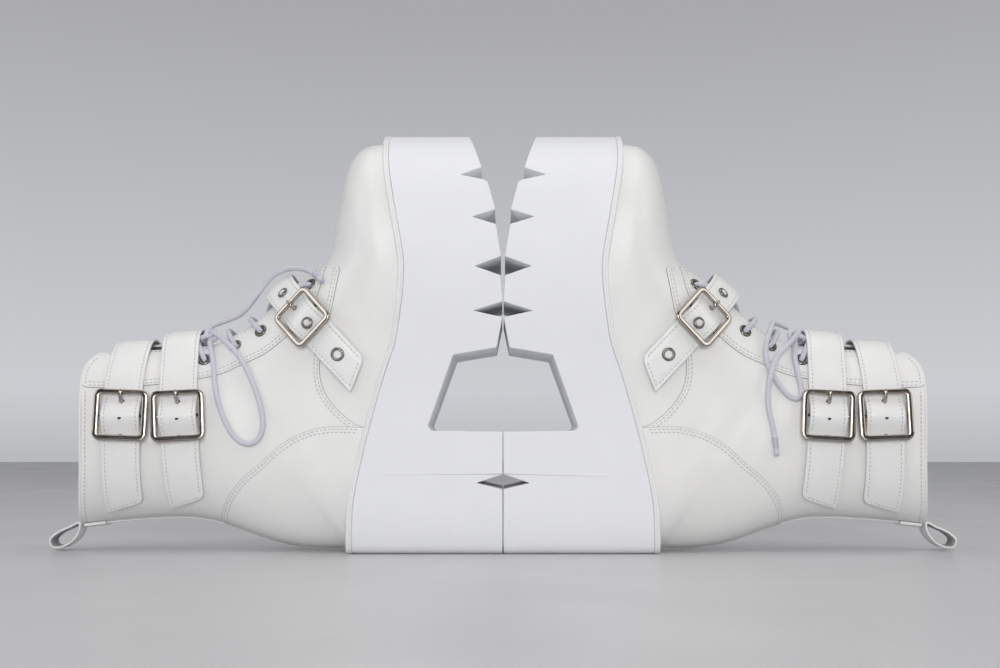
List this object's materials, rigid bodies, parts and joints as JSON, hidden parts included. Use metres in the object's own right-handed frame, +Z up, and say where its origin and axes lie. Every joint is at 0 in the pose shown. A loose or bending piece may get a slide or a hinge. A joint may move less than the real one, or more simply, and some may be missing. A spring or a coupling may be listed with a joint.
{
  "type": "platform lace-up ankle boots",
  "caption": "Pair of platform lace-up ankle boots with buckled straps, notched soles and open arches, lying on their heels sole to sole.",
  "frame": {"origin": "on the surface the pair lies on, at the middle of the pair's outline", "axes": "+X along the pair from the left-lying boot to the right-lying boot, -Y towards the buckle sides, +Z up through the toes"},
  "size_m": [0.6466, 0.1024, 0.297],
  "materials": {
    "upper": "smooth satin white",
    "strap": "smooth satin white, stitched edges",
    "platform": "moulded, satin",
    "rand": "satin",
    "lining": "matt",
    "lace": "braided, matt",
    "metal": "polished nickel"
  },
  "bodies": {
    "left_boot": {"left_platform_sole": "platform", "left_rand_strip": "rand", "left_insole_board": "lining", "left_footbed": "lining", "left_vamp": "upper", "left_outer_quarter": "upper", "left_inner_quarter": "upper", "left_heel_counter": "upper", "left_outer_facing": "upper", "left_inner_facing": "upper", "left_tongue": "upper", "left_ankle_upper_strap": "strap", "left_ankle_lower_strap": "strap", "left_instep_strap": "strap", "left_ankle_upper_chape": "strap", "left_ankle_lower_chape": "strap", "left_instep_chape": "strap", "left_lacing": "lace", "left_lace_loop": "lace", "left_lace_tail": "lace"},
    "left_loop": {"left_pull_loop": "strap"},
    "left_ankle_upper_frame": {"left_ankle_upper_buckle_frame": "metal"},
    "left_ankle_upper_prong": {"left_ankle_upper_buckle_prong": "metal"},
    "left_ankle_upper_tail": {"left_ankle_upper_strap_tail": "strap"},
    "left_ankle_lower_frame": {"left_ankle_lower_buckle_frame": "metal"},
    "left_ankle_lower_prong": {"left_ankle_lower_buckle_prong": "metal"},
    "left_ankle_lower_tail": {"left_ankle_lower_strap_tail": "strap"},
    "left_instep_frame": {"left_instep_buckle_frame": "metal"},
    "left_instep_prong": {"left_instep_buckle_prong": "metal"},
    "left_instep_tail": {"left_instep_strap_tail": "strap"},
    "right_boot": {"right_platform_sole": "platform", "right_rand_strip": "rand", "right_insole_board": "lining", "right_footbed": "lining", "right_vamp": "upper", "right_outer_quarter": "upper", "right_inner_quarter": "upper", "right_heel_counter": "upper", "right_outer_facing": "upper", "right_inner_facing": "upper", "right_tongue": "upper", "right_ankle_upper_strap": "strap", "right_ankle_lower_strap": "strap", "right_instep_strap": "strap", "right_ankle_upper_chape": "strap", "right_ankle_lower_chape": "strap", "right_instep_chape": "strap", "right_lacing": "lace", "right_lace_loop": "lace", "right_lace_tail": "lace"},
    "right_loop": {"right_pull_loop": "strap"},
    "right_ankle_upper_frame": {"right_ankle_upper_buckle_frame": "metal"},
    "right_ankle_upper_prong": {"right_ankle_upper_buckle_prong": "metal"},
    "right_ankle_upper_tail": {"right_ankle_upper_strap_tail": "strap"},
    "right_ankle_lower_frame": {"right_ankle_lower_buckle_frame": "metal"},
    "right_ankle_lower_prong": {"right_ankle_lower_buckle_prong": "metal"},
    "right_ankle_lower_tail": {"right_ankle_lower_strap_tail": "strap"},
    "right_instep_frame": {"right_instep_buckle_frame": "metal"},
    "right_instep_prong": {"right_instep_buckle_prong": "metal"},
    "right_instep_tail": {"right_instep_strap_tail": "strap"}
  },
  "joints": [
    {"name": "left_pull_loop_flex", "type": "hinge", "parent": "left_boot", "child": "left_loop", "pos_m": [-0.301, 0.0007, 0.0198], "axis": [0, 1, 0], "range_deg": [0, 55]},
    {"name": "left_ankle_upper_buckle_rock", "type": "hinge", "parent": "left_boot", "child": "left_ankle_upper_frame", "pos_m": [-0.26254, -0.03836, 0.09605], "axis": [0.9993, 0.0195, -0.0319], "range_deg": [-2, 3]},
    {"name": "left_ankle_upper_prong_lift", "type": "hinge", "parent": "left_ankle_upper_frame", "child": "left_ankle_upper_prong", "pos_m": [-0.26254, -0.03836, 0.09605], "axis": [0.9993, 0.0195, -0.0319], "range_deg": [0, 4]},
    {"name": "left_ankle_upper_tail_lift", "type": "hinge", "parent": "left_boot", "child": "left_ankle_upper_tail", "pos_m": [-0.26309, -0.03869, 0.07651], "axis": [-0.9991, -0.0303, 0.0281], "range_deg": [0, 35]},
    {"name": "left_ankle_lower_buckle_rock", "type": "hinge", "parent": "left_boot", "child": "left_ankle_lower_frame", "pos_m": [-0.2235, -0.03773, 0.09562], "axis": [0.9985, 0.0028, 0.0547], "range_deg": [-2, 3]},
    {"name": "left_ankle_lower_prong_lift", "type": "hinge", "parent": "left_ankle_lower_frame", "child": "left_ankle_lower_prong", "pos_m": [-0.2235, -0.03773, 0.09562], "axis": [0.9985, 0.0028, 0.0547], "range_deg": [0, 4]},
    {"name": "left_ankle_lower_tail_lift", "type": "hinge", "parent": "left_boot", "child": "left_ankle_lower_tail", "pos_m": [-0.22248, -0.03799, 0.07611], "axis": [-0.9985, 0.0104, -0.0542], "range_deg": [0, 35]},
    {"name": "left_instep_buckle_rock", "type": "hinge", "parent": "left_boot", "child": "left_instep_frame", "pos_m": [-0.13704, -0.03794, 0.16307], "axis": [0.6922, -0.1412, 0.7077], "range_deg": [-2, 3]},
    {"name": "left_instep_prong_lift", "type": "hinge", "parent": "left_instep_frame", "child": "left_instep_prong", "pos_m": [-0.13704, -0.03794, 0.16307], "axis": [0.6922, -0.1412, 0.7077], "range_deg": [0, 4]},
    {"name": "left_instep_tail_lift", "type": "hinge", "parent": "left_boot", "child": "left_instep_tail", "pos_m": [-0.12381, -0.04222, 0.14888], "axis": [-0.7208, 0.1276, -0.6813], "range_deg": [0, 35]},
    {"name": "right_pull_loop_flex", "type": "hinge", "parent": "right_boot", "child": "right_loop", "pos_m": [0.301, 0.0007, 0.0198], "axis": [0, -1, 0], "range_deg": [0, 55]},
    {"name": "right_ankle_upper_buckle_rock", "type": "hinge", "parent": "right_boot", "child": "right_ankle_upper_frame", "pos_m": [0.26254, -0.03836, 0.09605], "axis": [0.9993, -0.0195, 0.0319], "range_deg": [-2, 3]},
    {"name": "right_ankle_upper_prong_lift", "type": "hinge", "parent": "right_ankle_upper_frame", "child": "right_ankle_upper_prong", "pos_m": [0.26254, -0.03836, 0.09605], "axis": [0.9993, -0.0195, 0.0319], "range_deg": [0, 4]},
    {"name": "right_ankle_upper_tail_lift", "type": "hinge", "parent": "right_boot", "child": "right_ankle_upper_tail", "pos_m": [0.26309, -0.03869, 0.07651], "axis": [-0.9991, 0.0303, -0.0281], "range_deg": [0, 35]},
    {"name": "right_ankle_lower_buckle_rock", "type": "hinge", "parent": "right_boot", "child": "right_ankle_lower_frame", "pos_m": [0.2235, -0.03773, 0.09562], "axis": [0.9985, -0.0028, -0.0547], "range_deg": [-2, 3]},
    {"name": "right_ankle_lower_prong_lift", "type": "hinge", "parent": "right_ankle_lower_frame", "child": "right_ankle_lower_prong", "pos_m": [0.2235, -0.03773, 0.09562], "axis": [0.9985, -0.0028, -0.0547], "range_deg": [0, 4]},
    {"name": "right_ankle_lower_tail_lift", "type": "hinge", "parent": "right_boot", "child": "right_ankle_lower_tail", "pos_m": [0.22248, -0.03799, 0.07611], "axis": [-0.9985, -0.0104, 0.0542], "range_deg": [0, 35]},
    {"name": "right_instep_buckle_rock", "type": "hinge", "parent": "right_boot", "child": "right_instep_frame", "pos_m": [0.13704, -0.03794, 0.16307], "axis": [0.6922, 0.1412, -0.7077], "range_deg": [-2, 3]},
    {"name": "right_instep_prong_lift", "type": "hinge", "parent": "right_instep_frame", "child": "right_instep_prong", "pos_m": [0.13704, -0.03794, 0.16307], "axis": [0.6922, 0.1412, -0.7077], "range_deg": [0, 4]},
    {"name": "right_instep_tail_lift", "type": "hinge", "parent": "right_boot", "child": "right_instep_tail", "pos_m": [0.12381, -0.04222, 0.14888], "axis": [-0.7208, -0.1276, 0.6813], "range_deg": [0, 35]},
    {"name": "boots_apart", "type": "slide", "parent": "left_boot", "child": "right_boot", "axis": [1, 0, 0], "range_m": [0, 0.3]}
  ]
}
